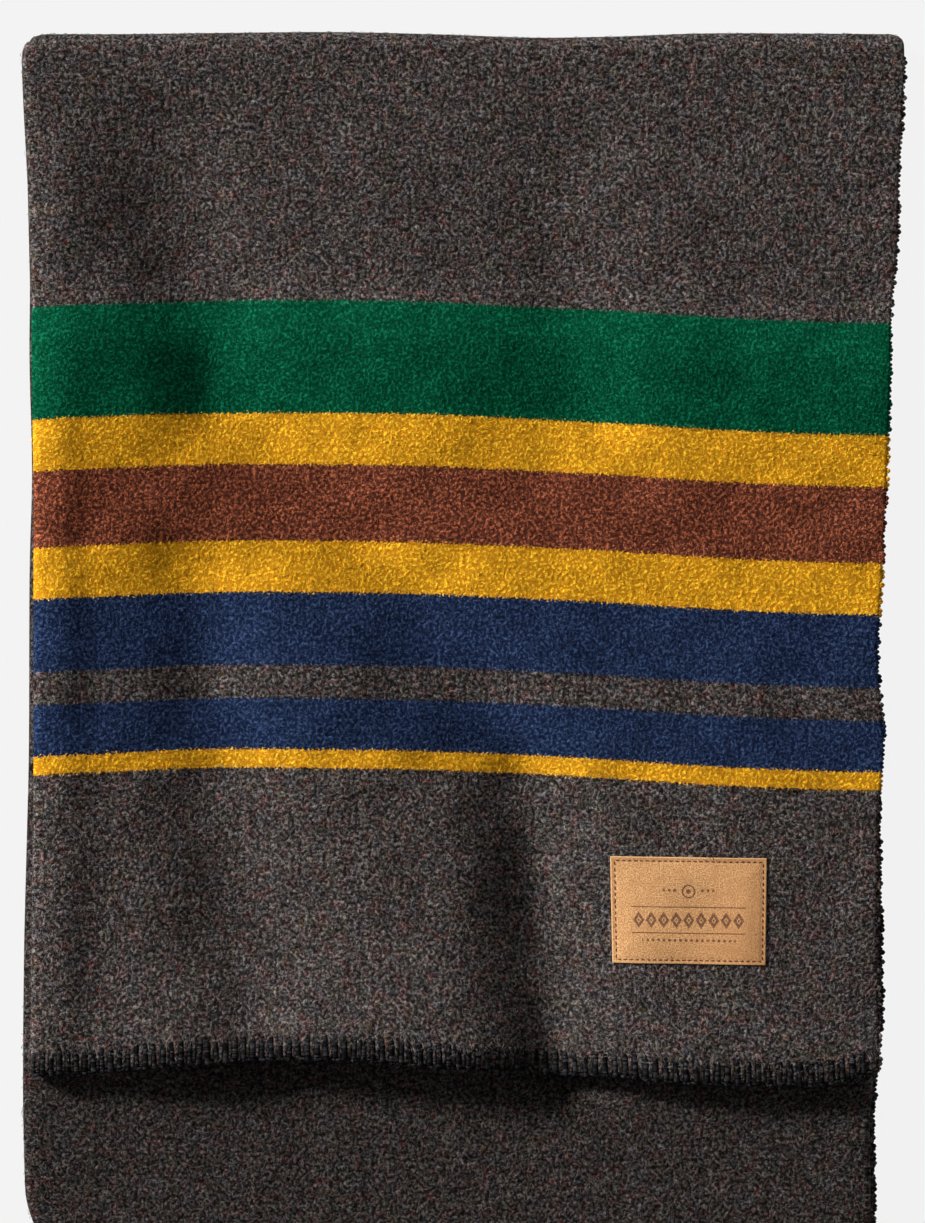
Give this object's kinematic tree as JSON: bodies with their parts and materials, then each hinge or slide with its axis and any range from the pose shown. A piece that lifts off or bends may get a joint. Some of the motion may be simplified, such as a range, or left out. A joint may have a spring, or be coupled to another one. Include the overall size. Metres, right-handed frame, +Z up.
{
  "type": "camp blanket",
  "caption": "Folded wool camp blanket in heathered grey with coloured end stripes, a blanket-stitched end and a stitched leather patch; its top flap and its middle run unfold about their folds.",
  "frame": {"origin": "centre of the folded blanket's footprint, on the surface that it lies on", "axes": "+X along the stripes, with the free woven edge of the top panel at +X; +Y towards the top fold; +Z up, out of the striped face"},
  "size_m": [0.4606, 0.65, 0.0342],
  "materials": {
    "wool_cloth": "napped heather wool, matt",
    "edge_yarn": "black wool yarn, matt",
    "patch_leather": "tan, matt, lightly grained",
    "patch_thread": "brown sewing thread"
  },
  "bodies": {
    "under_flap": {"under_bottom_panel": "wool_cloth", "under_middle_panel": "wool_cloth", "under_top_panel": "wool_cloth", "under_left_fold": "wool_cloth", "under_right_fold": "wool_cloth", "bottom_fold_inner": "wool_cloth", "bottom_fold_middle": "wool_cloth", "bottom_fold_outer": "wool_cloth", "under_stitching_bottom": "edge_yarn", "under_stitching_middle": "edge_yarn", "under_stitching_top": "edge_yarn"},
    "run": {"run_bottom_panel": "wool_cloth", "run_middle_panel": "wool_cloth", "run_top_panel": "wool_cloth", "run_left_fold": "wool_cloth", "run_right_fold": "wool_cloth", "top_fold_inner": "wool_cloth", "top_fold_middle": "wool_cloth", "top_fold_outer": "wool_cloth"},
    "top_flap": {"flap_back_panel": "wool_cloth", "flap_middle_panel": "wool_cloth", "flap_front_panel": "wool_cloth", "flap_left_fold": "wool_cloth", "flap_right_fold": "wool_cloth", "flap_stitching_back": "edge_yarn", "flap_stitching_middle": "edge_yarn", "flap_stitching_front": "edge_yarn", "leather_patch": "patch_leather", "patch_thread": "patch_thread"}
  },
  "joints": [
    {"name": "bottom_fold", "type": "hinge", "parent": "under_flap", "child": "run", "pos_m": [0, -0.3146, 0.0104], "axis": [1, 0, 0], "range_deg": [0, 165]},
    {"name": "top_fold", "type": "hinge", "parent": "run", "child": "top_flap", "pos_m": [0, 0.3146, 0.0104], "axis": [-1, 0, 0], "range_deg": [0, 165]}
  ]
}
